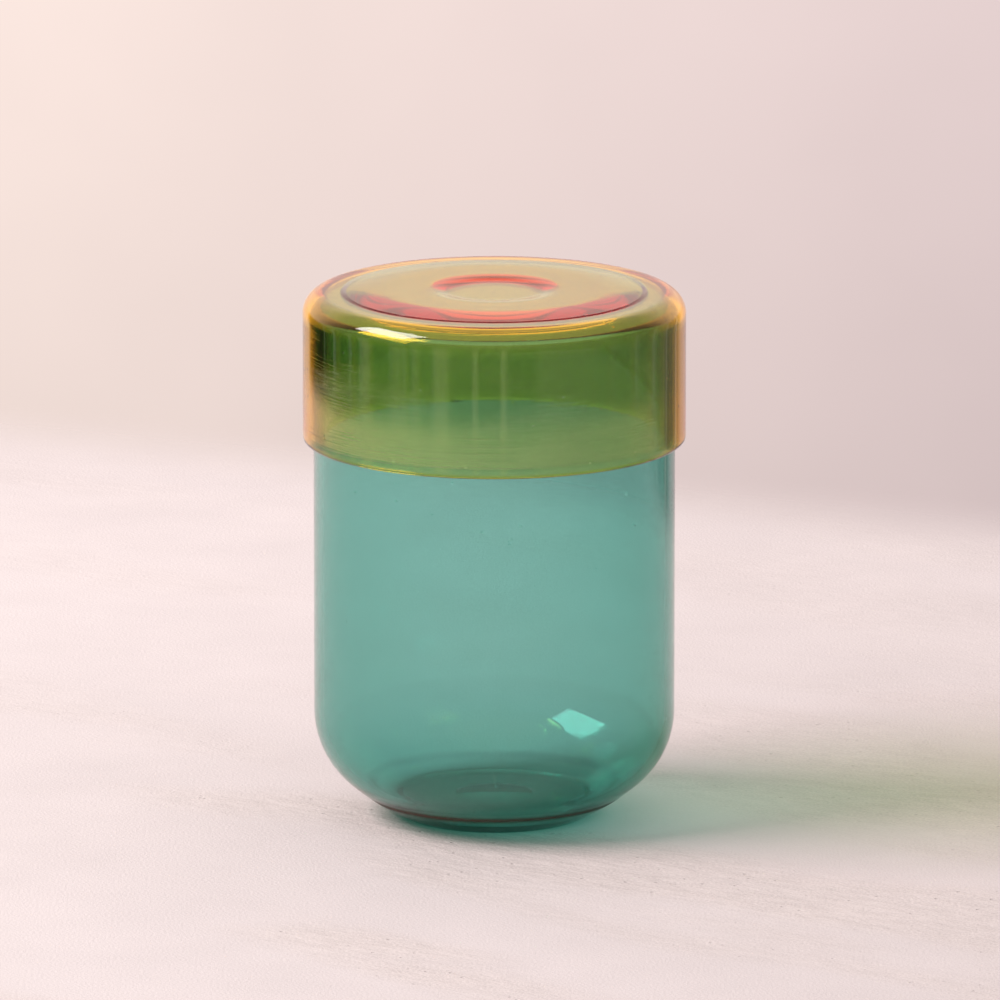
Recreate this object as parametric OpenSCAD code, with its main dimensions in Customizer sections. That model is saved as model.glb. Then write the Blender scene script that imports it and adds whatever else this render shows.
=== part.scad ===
// Apothecary jar: a straight-sided glass jar with a deep cap lid that slips down over its mouth.
// Sizes are in millimetres. The jar stands on z = 0, and its axis is the z axis.

/* [Jar] */
// Outer diameter of the straight wall
jar_d = 85; // [80:1:110]
// Height from the foot to the top of the rim
jar_h = 122.1; // [90:0.1:180]
// Thickness of the wall
jar_wall = 2.2; // [1.6:0.1:3]
// Thickness of the glass under the flat inside floor
base_t = 3.4; // [2.8:0.1:6]
// Diameter of the ring that the jar stands on
foot_d = 44; // [40:1:50]
// Radius of the bend where the wall turns under
heel_r = 22; // [18:1:26]
// Angle that the bend turns through before it flattens out
heel_turn = 50; // [40:1:56]
// Radius of the flatter curve between the bend and the foot
under_r = 64; // [52:1:90]
// Diameter of the shallow hollow under the foot
punt_d = 19; // [12:1:36]
// Depth of that hollow at its middle
punt_depth = 0.8; // [0.2:0.1:2]

/* [Lid] */
// Height of the lid from its rim to its flat top, without the swelling
lid_h = 35.3; // [24:0.1:60]
// Thickness of the lid's skirt
lid_wall = 2; // [1.6:0.1:3]
// Thickness of the flat top
plate_t = 1.8; // [1.5:0.1:4]
// Radius of the rounded edge between the top and the skirt
shoulder_r = 5; // [4:0.1:6.5]
// Radius of the bend inside that edge, which rests on the jar's rim
corner_r = 4; // [3.2:0.1:4.5]
// Outer diameter of the ring-shaped swelling on the top
swell_d = 70; // [60:1:76]
// Diameter of the flat middle inside the swelling
swell_hole_d = 22; // [10:1:24]
// Height of the swelling
swell_rise = 0.75; // [0.3:0.05:1.5]
// Width over which the outer side of the swelling rounds off
outer_ease = 10.5; // [4:0.5:11]
// Width over which the inner side of the swelling rounds off
inner_ease = 5.5; // [2:0.5:5.5]
// Radial play between the lid's skirt and the jar's wall
skirt_gap = 0.5; // [0.3:0.1:1]
// Air left between the jar's rim and the bend that rests on it
rest_gap = 0.1; // [0.1:0.05:0.3]

/* [Hidden] */
$fn = 160;

jar_r = jar_d / 2;
foot_r = foot_d / 2;
// The bend and the flatter curve under it meet without a corner, and the curve ends at the foot.
heel_x = jar_r - heel_r;
under_x = heel_x - (under_r - heel_r) * cos(heel_turn);
under_z = sqrt(pow(under_r, 2) - pow(foot_r - under_x, 2));
heel_z = under_z - (under_r - heel_r) * sin(heel_turn);
punt_r = cap_radius(punt_d / 2, punt_depth);

lid_r = jar_r + skirt_gap + lid_wall;
// The jar's rim and the bend inside the lid are both round, and they touch where their centres line up.
rim_r = jar_wall / 2;
seat_shift = corner_r - skirt_gap - rim_r;
seat_rise = sqrt(pow(corner_r - rim_r - rest_gap, 2) - pow(seat_shift, 2));
plate_z = jar_h - rim_r - seat_rise + corner_r;
lid_top_z = plate_z + plate_t;
lid_rim_z = lid_top_z - lid_h;

// Radius of the sphere whose cap has the given half width and height.
function cap_radius(half_width, height) = (pow(half_width, 2) + pow(height, 2)) / (2 * height);

// Height at which the bend meets the flatter curve, on the line drawn inset from the outside.
function join_z(inset) = heel_z - (heel_r - inset) * sin(heel_turn);

// Half outline of the jar's body between two heights, drawn inset from the outside.
module body_outline(inset, low, high) {
    intersection() {
        translate([0, low])
            square([jar_r, high - low]);
        union() {
            translate([0, heel_z])
                square([jar_r - inset, jar_h]);
            translate([0, join_z(inset)])
                square([heel_x, heel_z - join_z(inset)]);
            intersection() {
                translate([heel_x, heel_z])
                    circle(heel_r - inset);
                translate([heel_x, join_z(inset)])
                    square([heel_r, heel_z - join_z(inset)]);
            }
            intersection() {
                translate([under_x, under_z])
                    circle(under_r - inset);
                square([jar_r, join_z(inset)]);
            }
        }
    }
}

// The fire-polished edge that ends a wall: a half round as wide as the wall.
module round_edge(outer_r, wall, edge_z) {
    translate([outer_r - wall / 2, edge_z])
        circle(wall / 2);
}

module jar() {
    color("teal", 0.6)
        rotate_extrude() {
            difference() {
                body_outline(0, 0, jar_h - jar_wall / 2);
                body_outline(jar_wall, base_t, jar_h);
                intersection() {
                    translate([0, punt_depth - punt_r])
                        circle(punt_r);
                    square([punt_d, punt_depth]);
                }
            }
            round_edge(jar_r, jar_wall, jar_h - jar_wall / 2);
        }
}

// Half outline of a cap with a rounded upper corner, between its open end and its top.
module cap_outline(radius, corner, low, high) {
    translate([0, low])
        square([radius, high - corner - low]);
    translate([0, low])
        square([radius - corner, high - low]);
    translate([radius - corner, high - corner])
        circle(corner);
}

// One side of the swelling: a cap that is level at edge_x and comes down to the top after ease.
module swell_side(edge_x, ease) {
    side_r = cap_radius(ease, swell_rise);
    intersection() {
        translate([edge_x, lid_top_z + swell_rise - side_r])
            circle(side_r);
        translate([edge_x - ease, lid_top_z - plate_t / 2])
            square([2 * ease, plate_t / 2 + swell_rise]);
    }
}

// Half outline of the swelling: two rounded sides with a level stretch between them.
module swelling() {
    inner_x = swell_hole_d / 2 + inner_ease;
    outer_x = swell_d / 2 - outer_ease;
    swell_side(inner_x, inner_ease);
    swell_side(outer_x, outer_ease);
    translate([inner_x, lid_top_z - plate_t / 2])
        square([outer_x - inner_x, plate_t / 2 + swell_rise]);
}

module lid() {
    color("goldenrod", 0.6)
        rotate_extrude() {
            difference() {
                cap_outline(lid_r, shoulder_r, lid_rim_z + lid_wall / 2, lid_top_z);
                cap_outline(lid_r - lid_wall, corner_r, lid_rim_z, plate_z);
            }
            round_edge(lid_r, lid_wall, lid_rim_z + lid_wall / 2);
            swelling();
        }
}

jar();
lid();
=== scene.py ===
import math

import bpy
import numpy as np
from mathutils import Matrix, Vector


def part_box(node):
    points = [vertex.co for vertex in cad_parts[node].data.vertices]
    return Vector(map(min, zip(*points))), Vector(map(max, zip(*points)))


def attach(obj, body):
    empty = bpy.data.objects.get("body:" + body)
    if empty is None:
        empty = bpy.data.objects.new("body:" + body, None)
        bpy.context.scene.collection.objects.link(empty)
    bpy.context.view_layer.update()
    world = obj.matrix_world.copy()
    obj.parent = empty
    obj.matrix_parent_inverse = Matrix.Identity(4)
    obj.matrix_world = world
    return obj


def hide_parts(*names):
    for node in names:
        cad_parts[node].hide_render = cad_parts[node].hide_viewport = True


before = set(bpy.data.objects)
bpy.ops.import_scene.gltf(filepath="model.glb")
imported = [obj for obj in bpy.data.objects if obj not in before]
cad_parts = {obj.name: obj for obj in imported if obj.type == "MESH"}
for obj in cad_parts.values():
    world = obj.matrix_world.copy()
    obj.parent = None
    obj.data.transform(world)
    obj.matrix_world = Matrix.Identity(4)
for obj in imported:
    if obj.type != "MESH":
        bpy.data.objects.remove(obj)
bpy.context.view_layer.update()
print("frame loaded:", sorted(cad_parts))

mm = 0.001
jarLow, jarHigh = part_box("jar")
lidLow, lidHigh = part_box("lid")


class Value:
    # One output socket of a node tree. Sums, differences, products, quotients and powers of values,
    # or of values and numbers, add Math nodes to the tree.
    def __init__(self, tree, socket):
        self.tree = tree
        self.socket = socket

    def maths(self, operation, first, second):
        node = self.tree.nodes.new("ShaderNodeMath")
        node.operation = operation
        for index, item in enumerate((first, second)):
            if isinstance(item, Value):
                self.tree.links.new(item.socket, node.inputs[index])
            else:
                node.inputs[index].default_value = item
        return Value(self.tree, node.outputs[0])

    def __add__(self, other):
        return self.maths("ADD", self, other)

    def __radd__(self, other):
        return self.maths("ADD", other, self)

    def __sub__(self, other):
        return self.maths("SUBTRACT", self, other)

    def __rsub__(self, other):
        return self.maths("SUBTRACT", other, self)

    def __mul__(self, other):
        return self.maths("MULTIPLY", self, other)

    def __rmul__(self, other):
        return self.maths("MULTIPLY", other, self)

    def __truediv__(self, other):
        return self.maths("DIVIDE", self, other)

    def __pow__(self, other):
        return self.maths("POWER", self, other)


class Recipe:
    # A node tree that is filled by node(): it takes a node's type, its settings, which are set first,
    # and then the values or links of its sockets.
    def __init__(self, tree):
        self.tree = tree
        tree.nodes.clear()

    def node(self, kind, settings=None, sockets=None, out=0):
        node = self.tree.nodes.new("ShaderNode" + kind)
        for name, setting in (settings or {}).items():
            setattr(node, name, setting)
        for name, item in (sockets or {}).items():
            if isinstance(item, Value):
                self.tree.links.new(item.socket, node.inputs[name])
            else:
                node.inputs[name].default_value = item
        return Value(self.tree, node.outputs[out]) if node.outputs else None


def arc(centreR, centreZ, radius, startDegrees, endDegrees, count):
    # Points at equal angles on a circle in the (r, z) plane: centre + radius * (cos, sin) of the angle.
    angles = np.radians(np.linspace(startDegrees, endDegrees, count))
    return np.stack([centreR + radius * np.cos(angles), centreZ + radius * np.sin(angles)], 1)


def straight(start, end, count):
    # Points at equal steps from start to end, both ends included.
    steps = np.linspace(0, 1, count)[:, None]
    return np.array(start) * (1 - steps) + np.array(end) * steps


def joined(*stretches):
    # The stretches of an outline one after another, with the points that two of them share kept once.
    outline = np.concatenate(stretches)
    apart = np.linalg.norm(np.diff(outline, axis=0), axis=1) > 1e-7
    return outline[np.concatenate([[True], apart])]


def melted(stretch, width):
    # The stretch with its heights averaged along the radius, so that its corners are rounded: the mean of
    # nine points spread evenly over twice the width, taken along the mirrored stretch near the axis.
    radius, height = stretch.T
    around = radius[:, None] + width * np.linspace(-1, 1, 9)
    soft = np.interp(np.abs(around), radius[::-1], height[::-1]).mean(axis=1)
    return np.stack([radius, soft], 1)


def turned(name, outline, segments):
    # A closed body of revolution: point (r, z) of the outline at turn t goes to (r cos t, r sin t, z).
    # The outline starts and ends on the axis, and runs so that the body is on its left-hand side.
    between = outline[1:-1]   # all but the two points on the axis
    turns = np.linspace(0, 2 * math.pi, segments, endpoint=False)
    radius, height = (part[:, None] + 0 * turns for part in between.T)
    rings = np.stack([radius * np.cos(turns), radius * np.sin(turns), height], -1).reshape(-1, 3)
    rows = len(between)
    poles = np.array([[0, 0, outline[0, 1]], [0, 0, outline[-1, 1]]])
    row, column = np.meshgrid(np.arange(rows - 1), np.arange(segments), indexing="ij")
    following = (column + 1) % segments
    quads = np.stack([row * segments + column, row * segments + following,
                      (row + 1) * segments + following, (row + 1) * segments + column], -1).reshape(-1, 4)
    first, last = rows * segments, rows * segments + 1
    around = np.arange(segments)
    after = (around + 1) % segments
    startFan = np.stack([np.full(segments, first), after, around], -1)
    endFan = np.stack([np.full(segments, last), (rows - 1) * segments + around,
                       (rows - 1) * segments + after], -1)
    mesh = bpy.data.meshes.new(name)
    mesh.from_pydata(np.concatenate([rings, poles]).tolist(), [],
                     quads.tolist() + startFan.tolist() + endFan.tolist())
    mesh.polygons.foreach_set("use_smooth", np.ones(len(mesh.polygons), bool))
    mesh.update()
    piece = bpy.data.objects.new(name, mesh)
    bpy.context.scene.collection.objects.link(piece)
    return piece


jarSettings = {
    "wall": 2.2 * mm,          # thickness of the straight wall
    "baseThickness": 3.4 * mm,
    "footRadius": 22 * mm,
    "heelRadius": 22 * mm,
    "heelTurn": 50,            # degrees that the bend turns through before it flattens out
    "underRadius": 64 * mm,
    "puntRadius": 9.5 * mm,
    "puntDepth": 0.8 * mm,
    "segments": 288,
}

lidSettings = {
    "wall": 2 * mm,
    "plate": 1.8 * mm,
    "shoulderRadius": 5 * mm,
    "cornerRadius": 4 * mm,    # of the bend between the plate and the inside of the skirt
    "swellInner": 11 * mm,     # the ring-shaped swelling on the top lies between these two radii
    "swellOuter": 35 * mm,
    "innerEase": 5.5 * mm,     # widths over which its two sides round off
    "outerEase": 10.5 * mm,
    "swellRise": 0.75 * mm,
    "melt": 1.2 * mm,          # half the width over which its edges are melted smooth
    "segments": 288,
}


def capRadius(halfWidth, height):
    return (halfWidth**2 + height**2) / (2 * height)


def jarOutline(settings):
    # From the middle of the base outwards, up the wall, over the rim, and down inside to the floor.
    radius = jarHigh[0]
    wall = settings["wall"]
    heelR = radius - settings["heelRadius"]
    turn = math.radians(settings["heelTurn"])
    flatter = settings["underRadius"] - settings["heelRadius"]
    underR = heelR - flatter * math.cos(turn)
    underZ = math.sqrt(settings["underRadius"]**2 - (settings["footRadius"] - underR)**2)
    heelZ = underZ - flatter * math.sin(turn)
    puntSphere = capRadius(settings["puntRadius"], settings["puntDepth"])
    puntAngle = math.degrees(math.asin(settings["puntRadius"] / puntSphere))
    footAngle = math.degrees(math.asin(underZ / settings["underRadius"]))
    innerUnder = settings["underRadius"] - wall
    floorZ = settings["baseThickness"]
    floorAngle = math.degrees(math.asin((underZ - floorZ) / innerUnder))
    floorR = underR + innerUnder * math.cos(math.radians(floorAngle))
    rimZ = jarHigh[2] - wall / 2
    rimR = radius - wall / 2
    return joined(
        arc(0, settings["puntDepth"] - puntSphere, puntSphere, 90, 90 - puntAngle, 14),
        straight((settings["puntRadius"], 0), (settings["footRadius"], 0), 6),
        arc(underR, underZ, settings["underRadius"], -footAngle, -settings["heelTurn"], 22),
        arc(heelR, heelZ, settings["heelRadius"], -settings["heelTurn"], 0, 26),
        straight((radius, heelZ), (radius, rimZ), 40),
        arc(rimR, rimZ, wall / 2, 0, 180, 15),
        straight((radius - wall, rimZ), (radius - wall, heelZ), 40),
        arc(heelR, heelZ, settings["heelRadius"] - wall, 0, -settings["heelTurn"], 26),
        arc(underR, underZ, innerUnder, -settings["heelTurn"], -floorAngle, 20),
        straight((floorR, floorZ), (0, floorZ), 24),
    )


def lidOutline(settings):
    # From the middle of the underside out to the skirt, down inside it, round the rim, up outside, and over
    # the shoulder and the swelling to the middle of the top.
    radius = lidHigh[0]
    wall = settings["wall"]
    top = lidHigh[2] - settings["swellRise"]
    plateZ = top - settings["plate"]
    corner = settings["cornerRadius"]
    shoulder = settings["shoulderRadius"]
    inner, outer, rise = settings["swellInner"], settings["swellOuter"], settings["swellRise"]
    innerCurve = capRadius(settings["innerEase"], rise)
    outerCurve = capRadius(settings["outerEase"], rise)
    innerTurn = math.degrees(math.asin(settings["innerEase"] / innerCurve))
    outerTurn = math.degrees(math.asin(settings["outerEase"] / outerCurve))
    innerR, outerR = inner + settings["innerEase"], outer - settings["outerEase"]
    rimZ = lidLow[2] + wall / 2
    return joined(
        straight((0, plateZ), (radius - wall - corner, plateZ), 30),
        arc(radius - wall - corner, plateZ - corner, corner, 90, 0, 12),
        straight((radius - wall, plateZ - corner), (radius - wall, rimZ), 24),
        arc(radius - wall / 2, rimZ, wall / 2, 180, 360, 15),
        straight((radius, rimZ), (radius, top - shoulder), 24),
        arc(radius - shoulder, top - shoulder, shoulder, 0, 90, 22),
        straight((radius - shoulder, top), (settings["swellOuter"], top), 5),
        melted(joined(
            arc(outerR, top + rise - outerCurve, outerCurve, 90 - outerTurn, 90, 32),
            straight((outerR, top + rise), (innerR, top + rise), 9),
            arc(innerR, top + rise - innerCurve, innerCurve, 90, 90 + innerTurn, 24),
            straight((inner, top), (0, top), 12)), settings["melt"]),
    )


def eased(recipe, value, start, end, low=0.0, high=1.0):
    # Goes smoothly from low to high while value goes from start to end.
    return recipe.node("MapRange", {"interpolation_type": "SMOOTHSTEP"},
                       {0: value, 1: start, 2: end, 3: low, 4: high})


def blend(recipe, amount, first, second):
    # The first colour where amount is 0 and the second where it is 1.
    first = first if isinstance(first, Value) else (*first, 1)
    second = second if isinstance(second, Value) else (*second, 1)
    return recipe.node("Mix", {"data_type": "RGBA"}, {0: amount, 6: first, 7: second}, out=2)


def stretched(recipe, place, amounts):
    return recipe.node("VectorMath", {"operation": "MULTIPLY"}, {0: place, 1: amounts})


def noise(recipe, place, scale, detail):
    # Soft random values about 0.5.
    return recipe.node("TexNoise", sockets={"Vector": place, "Scale": scale, "Detail": detail})


def parts(recipe, place):
    # The x, y and z of a place.
    split = recipe.node("SeparateXYZ", sockets={0: place})
    return [Value(recipe.tree, socket) for socket in split.socket.node.outputs]


def spots(recipe, place, spacing, inner, outer):
    # 1 within the inner radius of points scattered about spacing apart, easing to 0 at the outer radius.
    cell = recipe.node("TexVoronoi", {"feature": "F1"},
                       {"Vector": place, "Scale": 1 / spacing, "Randomness": 1.0})
    return eased(recipe, cell, inner / spacing, outer / spacing, 1, 0)


def relief(recipe, place, settings):
    # Height of the surface in metres: level lines that come and go, slow waves, and a few small seeds.
    lineLength = 30 * mm
    patchWidth, patchHeight = 20 * mm, 8 * mm

    def marks(across, upwards, detail):
        # Noise about 0 whose marks are about this size level and upright.
        squeezed = stretched(recipe, place, (1 / across, 1 / across, 1 / upwards))
        return noise(recipe, squeezed, 1.0, detail) - 0.5

    lines = marks(lineLength, settings["lineSpacing"], 2)
    patches = eased(recipe, marks(patchWidth, patchHeight, 1), -0.1, 0.2, 0.1, 1.0)
    waves = marks(settings["waveSize"], 3 * settings["waveSize"], 1)
    seed = spots(recipe, place, settings["seedSpacing"], 0.0, settings["seedSize"])
    return (lines * patches * settings["lineHeight"] + waves * settings["waveHeight"]
            + seed * settings["seedHeight"])


def glassBody(recipe, place, settings, tint):
    # Clear glass shaded by the tint, with its relief.
    bump = recipe.node("Bump", sockets={"Height": relief(recipe, place, settings), "Distance": 1.0})
    return recipe.node("BsdfPrincipled", sockets={
        "Base Color": tint, "Roughness": 0.0, "IOR": settings["refraction"],
        "Transmission Weight": 1.0, "Normal": bump})


def finishGlass(recipe, settings, body):
    # The body colours light by how far it goes inside, and lets light for shadows straight through.
    taken = recipe.node("VolumeAbsorption", sockets={
        "Color": (*settings["passes"], 1), "Density": settings["density"]})
    clear = recipe.node("BsdfTransparent")
    shadow = recipe.node("LightPath", out=1)
    both = recipe.node("MixShader", sockets={0: shadow, 1: body, 2: clear})
    recipe.node("OutputMaterial", sockets={"Surface": both, "Volume": taken})


tealSettings = {
    "passes": (0.03, 0.64, 0.565),  # colour that the glass lets through
    "density": 395,                 # how strongly it takes up the rest, per metre
    "refraction": 1.52,
    "lineHeight": 0.001 * mm,       # fine level lines from turning and polishing
    "lineSpacing": 0.5 * mm,
    "waveHeight": 0.012 * mm,       # slow waves from blowing
    "waveSize": 14 * mm,
    "seedHeight": 0.05 * mm,        # bumps over tiny bubbles
    "seedSpacing": 7 * mm,
    "seedSize": 0.5 * mm,
    "heelTint": (0.62, 0.89, 0.87),
    "heelTop": 32 * mm,             # the tint deepens from this height down to the next
    "heelFoot": -1 * mm,
    "lineZ": 5 * mm,                # of the painted line round the outside of the heel: painted reflection of the shaded floor
    "lineHalfWidth": 1.5 * mm,
    "lineInnerR": 28.5 * mm,        # between the inner and the outer surface at that height
    # painted reflection: the dark red-brown of the shaded floor as seen at the heel's grazing edge
    "paintedReflectionColour": (0.10, 0.045, 0.035),
    "lineBlur": 0.4 * mm,
    "lineFront": 0.85,              # how strong the line is in front and behind
    "lineBack": 0.153,
    "lineTurns": (-14 * mm, 6 * mm),   # it fades from the first to the second between these depths
}


def paintedHeelReflection(recipe, place, settings):
    # How far the surface lies in the painted line round the outside of the heel, 0 to 1: a painted
    # reflection of the shaded floor, strong in front and faint behind.
    across, depth, height = parts(recipe, place)
    radius = (across * across + depth * depth) ** 0.5
    middle = settings["lineZ"]
    half = settings["lineHalfWidth"]
    blur = settings["lineBlur"]
    strong, weak = settings["lineFront"], settings["lineBack"]
    rising = eased(recipe, height, middle - half, middle)
    falling = eased(recipe, height, middle, middle + half, 1, 0)
    outside = eased(recipe, radius, settings["lineInnerR"] - blur, settings["lineInnerR"] + blur)
    strength = eased(recipe, depth, *settings["lineTurns"], strong, weak)
    return rising * falling * outside * strength


def makeTealGlass(settings):
    material = bpy.data.materials.new("tealGlass")
    material.use_nodes = True
    recipe = Recipe(material.node_tree)
    place = recipe.node("TexCoord", out=3)
    height = parts(recipe, place)[2]
    heel = eased(recipe, height, settings["heelFoot"], settings["heelTop"], 1, 0)
    tint = blend(recipe, heel, (1, 1, 1), settings["heelTint"])
    body = glassBody(recipe, place, settings, tint)
    # Painted reflection: a dark diffuse line round the heel stands in for the shaded floor seen at its
    # grazing edge.
    paintedDarkReflection = recipe.node("BsdfDiffuse", sockets={"Color": (*settings["paintedReflectionColour"], 1)})
    line = paintedHeelReflection(recipe, place, settings)
    body = recipe.node("MixShader", sockets={0: line, 1: body, 2: paintedDarkReflection})
    finishGlass(recipe, settings, body)
    return material


amberSettings = {
    "passes": (0.985, 0.83, 0.04),
    "density": 580,
    "refraction": 1.52,
    "lineHeight": 0.018 * mm,
    "lineSpacing": 0.4 * mm,
    "waveHeight": 0.015 * mm,
    "waveSize": 9 * mm,
    "seedHeight": 0.06 * mm,
    "seedSpacing": 6.5 * mm,
    "seedSize": 0.45 * mm,
    "upperPaintedShade": (0.70, 0.80, 0.90),   # of the upper half of the skirt: painted shade, darker and greener, for the dark surroundings seen through it
    "upperFrom": 99 * mm,
    "upperTo": 108 * mm,
    "edgeTint": (0.56, 0.44, 0.18),    # where the skirt turns away from the eye
    "edgeFrom": 0.54,
    "edgeTo": 0.70,
    "skirtFade": (117.5 * mm, 121.5 * mm),   # heights between which both tints stop
}


def makeAmberGlass(settings):
    material = bpy.data.materials.new("amberGlass")
    material.use_nodes = True
    recipe = Recipe(material.node_tree)
    place = recipe.node("TexCoord", out=3)
    height = parts(recipe, place)[2]
    facing = recipe.node("LayerWeight", sockets={"Blend": 0.5}, out=1)
    skirt = eased(recipe, height, *settings["skirtFade"], 1, 0)
    # Painted shade: the upper half of the skirt is tinted darker and greener.
    upper = eased(recipe, height, settings["upperFrom"], settings["upperTo"]) * skirt
    edge = eased(recipe, facing, settings["edgeFrom"], settings["edgeTo"]) * skirt
    tint = blend(recipe, upper, (1, 1, 1), settings["upperPaintedShade"])
    tint = blend(recipe, edge, tint, settings["edgeTint"])
    finishGlass(recipe, settings, glassBody(recipe, place, settings, tint))
    return material


def makeJar():
    piece = turned("jarBody", jarOutline(jarSettings), jarSettings["segments"])
    piece.data.materials.append(makeTealGlass(tealSettings))
    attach(piece, "jar")
    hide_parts("jar")
    print("jar made:", len(piece.data.polygons), "faces")


def makeLid():
    piece = turned("lidCap", lidOutline(lidSettings), lidSettings["segments"])
    piece.data.materials.append(makeAmberGlass(amberSettings))
    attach(piece, "lid")
    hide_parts("lid")
    print("lid made:", len(piece.data.polygons), "faces")


floorSettings = {
    "size": 0.7,                        # half the width of the sheet
    "colour": (0.80, 0.715, 0.71),
    "wornColour": (0.80, 0.70, 0.67),   # where the plaster is rubbed rough
    "strokeTurn": 0.60,                 # radians that the trowel strokes are turned by
    "strokeStretch": (110, 300, 1),     # marks per metre along and across a stroke
    "patchStretch": (5, 16, 1),         # the same for the rubbed patches
    "patchFrom": 0.46,                  # noise at which a patch starts, and at which it is at its full
    "patchTo": 0.62,
    "patchLean": 0.6,                   # how much more of the floor is rubbed for each metre to the right
    "patchFade": (0.0, 0.15, 1, 0.3),   # from 1 to 0.3 between these depths
    "blotchScale": 26,
    "blotchShade": 0.14,
    "grainScale": 1300,
    "pitSpacing": 4.76 * mm,
    "pitInner": 0.24 * mm,
    "pitOuter": 0.57 * mm,
    "pitShade": 0.16,
    "farPaintedLight": (0.03, 0.3, 1.0, 1.09),   # painted light: lighter by 9% from the nearer to the farther depth
    "strokeHeight": 0.6 * mm,
    "grainHeight": 0.16 * mm,
    "pitDepth": 0.2 * mm,
    "edge": 0.5,                        # radius of the lit part of the floor
    "edgeBlur": 0.03,
    "backEdge": 0.355,                  # depth at which it ends behind the jar
    "backBlur": 0.04,
    "backLean": 0.45,                   # how much nearer that is for each metre to the right
}


def floorOpening(recipe, place, settings):
    # 1 where the floor has ended, and the room shows instead.
    across, depth = parts(recipe, place)[:2]
    back = settings["backEdge"]
    edge = settings["edge"]
    reach = (across * across + depth * depth) ** 0.5
    leaning = depth + across * settings["backLean"]
    beyond = eased(recipe, leaning, back - settings["backBlur"], back + settings["backBlur"])
    past = eased(recipe, reach, edge - settings["edgeBlur"], edge + settings["edgeBlur"])
    return recipe.node("Math", {"operation": "MAXIMUM"}, {0: beyond, 1: past})


def makePlaster(settings):
    material = bpy.data.materials.new("plaster")
    material.use_nodes = True
    recipe = Recipe(material.node_tree)
    place = recipe.node("TexCoord", out=3)
    across, depth = parts(recipe, place)[:2]
    alongStrokes = recipe.node("VectorRotate", {"rotation_type": "Z_AXIS"},
                               {"Vector": place, "Angle": settings["strokeTurn"]})
    strokes = noise(recipe, stretched(recipe, alongStrokes, settings["strokeStretch"]), 1.0, 5) - 0.5
    blotches = noise(recipe, place, settings["blotchScale"], 6) - 0.5
    grain = noise(recipe, place, settings["grainScale"], 2) - 0.5
    broad = noise(recipe, stretched(recipe, alongStrokes, settings["patchStretch"]), 1.0, 2)
    broad = broad + across * settings["patchLean"]
    worn = eased(recipe, broad, settings["patchFrom"], settings["patchTo"])
    worn = worn * eased(recipe, depth, *settings["patchFade"])
    pits = spots(recipe, place, settings["pitSpacing"], settings["pitInner"], settings["pitOuter"]) * worn
    rough = strokes * (worn * 0.20 + 0.03) + grain * (worn * 0.36 + 0.08)   # stronger where it is rubbed
    shade = rough + blotches * settings["blotchShade"] - worn * 0.035 - pits * settings["pitShade"] + 1.01
    # Painted light: the floor grows lighter towards the back.
    shade = shade * eased(recipe, depth, *settings["farPaintedLight"])
    colour = blend(recipe, worn * 0.6, settings["colour"], settings["wornColour"])
    colour = recipe.node("VectorMath", {"operation": "SCALE"}, {0: colour, 3: shade})
    height = (strokes * worn * settings["strokeHeight"] + grain * settings["grainHeight"]
              - pits * settings["pitDepth"])
    bump = recipe.node("Bump", sockets={"Height": height, "Distance": 1.0})
    body = recipe.node("BsdfPrincipled", sockets={"Base Color": colour, "Roughness": 0.9, "Normal": bump})
    clear = recipe.node("BsdfTransparent")
    away = floorOpening(recipe, place, settings)
    both = recipe.node("MixShader", sockets={0: away, 1: body, 2: clear})
    recipe.node("OutputMaterial", sockets={"Surface": both})
    return material


def makeFloor(settings):
    mesh = bpy.data.meshes.new("floor")
    size = settings["size"]
    corners = [(-size, -size, 0), (size, -size, 0), (size, size, 0), (-size, size, 0)]
    mesh.from_pydata(corners, [], [(0, 1, 2, 3)])
    mesh.materials.append(makePlaster(settings))
    floor = bpy.data.objects.new("floor", mesh)
    bpy.context.scene.collection.objects.link(floor)
    print("floor laid")


roomSettings = {
    "wallLeft": (0.95, 0.79, 0.73),     # the wall behind the jar, low down
    "wallRight": (0.75, 0.61, 0.605),
    "wallHigh": (1.2, 1.0, 0.9),
    "roomLeft": (0.03, 0.03, 0.03),     # beside the camera and behind it, low down
    "roomRight": (0.26, 0.25, 0.23),
    "streaks": (0.7, 0.66, 0.58),       # things in the room that catch the light
    "roomHigh": (0.30, 0.27, 0.27),
    "ceiling": (0.46, 0.43, 0.44),
    "wallSpan": (-0.045, 0.045),        # the wall goes from its left to its right colour between these
    "footShade": (-0.235, -0.18, 0.84, 1.04),   # darker at its foot: two heights and two brightnesses
    "mottleScale": 45,
    "mottle": 0.12,
    "rightFrom": (0.38, 0.5),           # where the room's left colour gives way to its right one
    "streakScale": 6,
    "streakAmount": (0.5, 0.62, 0, 0.8),
    "wallFacing": (0.80, 0.90),         # how far round the wall reaches, low down and high up
    "highFacing": (0.3, 0.85),
    "highFrom": (-0.02, 0.1),
    "ceilingFrom": (0.45, 0.65),
}


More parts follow.
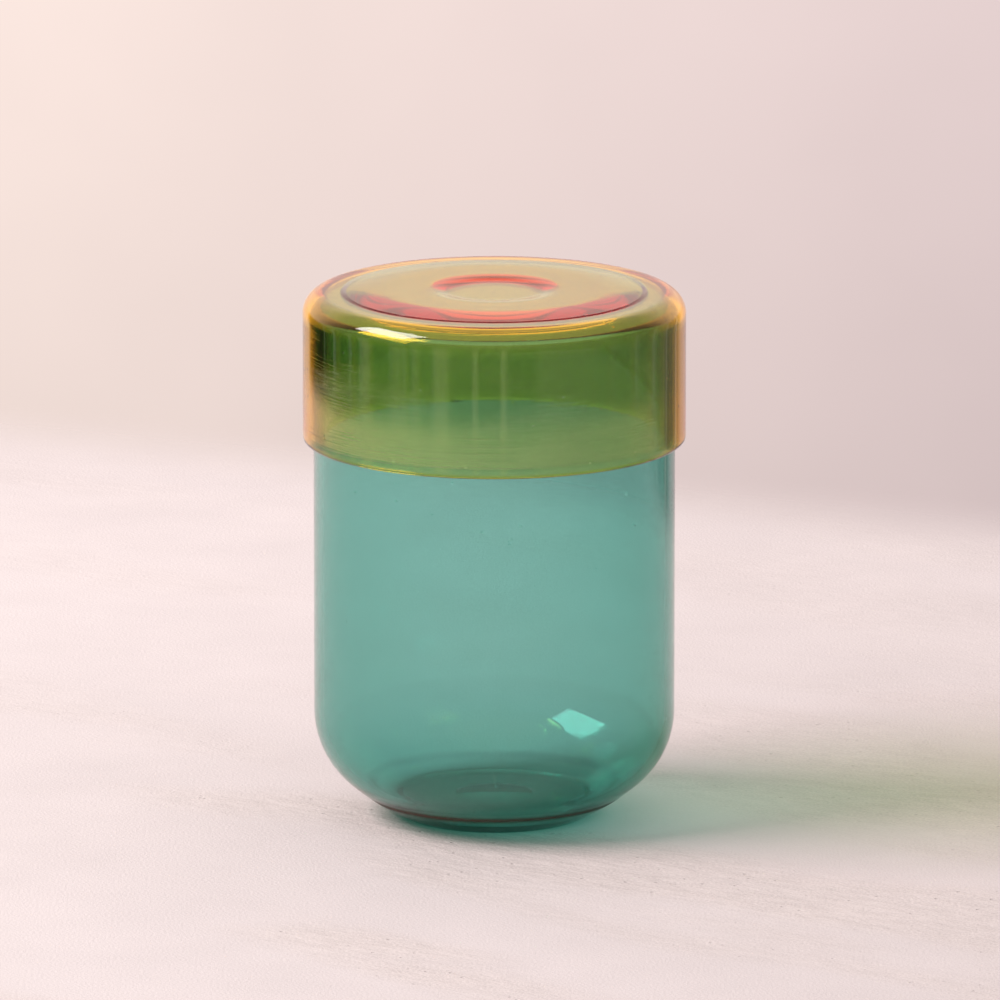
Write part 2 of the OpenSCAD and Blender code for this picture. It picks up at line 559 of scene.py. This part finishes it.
def makeRoom(settings):
    world = bpy.data.worlds.new("studio")
    bpy.context.scene.world = world
    world.use_nodes = True
    recipe = Recipe(world.node_tree)
    place = recipe.node("TexCoord", out=0)
    across, depth, height = parts(recipe, place)
    level = (across * across + depth * depth) ** 0.5
    facing = depth / (level + 0.001)   # 1 straight behind the jar, -1 straight in front of it
    side = across / (level + 0.001)

    def between(value, span):
        return eased(recipe, value, *settings[span])

    mottle = noise(recipe, place, settings["mottleScale"], 3)
    mottle = mottle * settings["mottle"] + (1 - settings["mottle"] / 2)
    wall = blend(recipe, between(across, "wallSpan"), settings["wallLeft"], settings["wallRight"])
    shade = between(height, "footShade") * mottle
    wall = recipe.node("VectorMath", {"operation": "SCALE"}, {0: wall, 3: shade})
    around = recipe.node("CombineXYZ", sockets={0: facing, 1: side})
    streaks = between(noise(recipe, around, settings["streakScale"], 4), "streakAmount")
    dark = blend(recipe, between(side, "rightFrom"), settings["roomLeft"], settings["roomRight"])
    dark = blend(recipe, streaks, dark, settings["streaks"])
    low = blend(recipe, between(facing, "wallFacing"), dark, wall)
    high = blend(recipe, between(facing, "highFacing"), settings["roomHigh"], settings["wallHigh"])
    sides = blend(recipe, between(height, "highFrom"), low, high)
    colour = blend(recipe, between(height, "ceilingFrom"), sides, settings["ceiling"])
    light = recipe.node("Background", sockets={"Color": colour, "Strength": 1.0})
    recipe.node("OutputWorld", sockets={"Surface": light})
    print("room made")


def aimed(thing, place, target):
    # Puts a lamp or a camera at place, looking at target.
    thing.location = place
    thing.rotation_mode = "QUATERNION"
    thing.rotation_quaternion = (Vector(target) - Vector(place)).to_track_quat("-Z", "Y")
    bpy.context.scene.collection.objects.link(thing)


lightSettings = {
    "direction": (-0.70, -0.12, 0.70),
    "distance": 1.6,
    "target": (0, 0, 0.05),
    "width": 1.0,
    "height": 0.65,
    "power": 24.5,
    "colour": (1.0, 0.97, 0.95),
}


def makeLight(settings):
    lamp = bpy.data.lights.new("window", "AREA")
    lamp.shape = "RECTANGLE"
    lamp.size = settings["width"]
    lamp.size_y = settings["height"]
    lamp.energy = settings["power"]
    lamp.color = settings["colour"]
    thing = bpy.data.objects.new("window", lamp)
    aimed(thing, [settings["distance"] * part for part in settings["direction"]], settings["target"])
    print("light placed")


cameraSettings = {
    "distance": 3.6,
    "elevation": 12.7,
    "frameWidth": 0.2351,       # what the view is wide at the target
    "target": (0.00134, 0, 0.0752),
}


def makeCamera(settings):
    data = bpy.data.cameras.new("camera")
    data.sensor_width = 36
    data.lens = data.sensor_width * settings["distance"] / settings["frameWidth"]
    data.clip_start, data.clip_end = 0.1, 20
    camera = bpy.data.objects.new("camera", data)
    tilt = math.radians(settings["elevation"])
    target = settings["target"]
    aimed(camera, (target[0], target[1] - settings["distance"] * math.cos(tilt),
                   target[2] + settings["distance"] * math.sin(tilt)), target)
    bpy.context.scene.camera = camera
    print("camera placed")


def setLightPaths():
    # Light that is trapped in the glass needs many bounces before it comes out coloured and not black.
    scene = bpy.context.scene
    scene.view_settings.view_transform = "Standard"
    scene.cycles.max_bounces = 32
    scene.cycles.transmission_bounces = 32
    scene.cycles.glossy_bounces = 32
    scene.cycles.transparent_max_bounces = 24
    scene.cycles.caustics_refractive = False
    scene.cycles.caustics_reflective = False
    print("light paths set")


makeCamera(cameraSettings)
makeFloor(floorSettings)
makeRoom(roomSettings)
makeLight(lightSettings)
makeJar()
makeLid()
setLightPaths()
